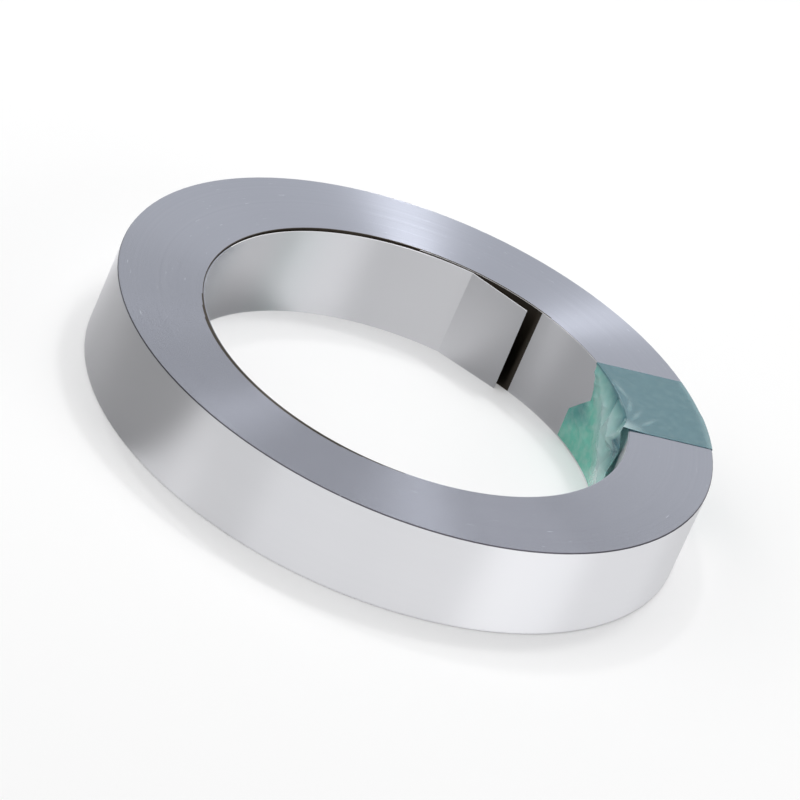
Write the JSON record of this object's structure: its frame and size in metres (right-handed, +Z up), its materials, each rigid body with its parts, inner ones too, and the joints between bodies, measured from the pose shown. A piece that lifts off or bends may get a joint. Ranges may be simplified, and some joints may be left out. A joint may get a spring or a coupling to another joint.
{
  "type": "coil of nickel strip",
  "caption": "Flat ring-shaped coil of thin nickel strip with a round bore, kept wound by a band of green adhesive tape; stock for the spot-welded tabs of battery packs.",
  "frame": {"origin": "on the coil's axis, in the plane of the end that the coil lies on", "axes": "+Z up along the bore's axis; the tape crosses the upper end 26 degrees round from +X towards +Y"},
  "size_m": [0.1278, 0.1278, 0.0201],
  "materials": {
    "nickel": "bright rolled nickel, satin on the slit edges",
    "tape": "glossy translucent green film"
  },
  "bodies": {
    "root": {"strip_coil": "nickel", "tape_band": "tape"}
  },
  "joints": []
}
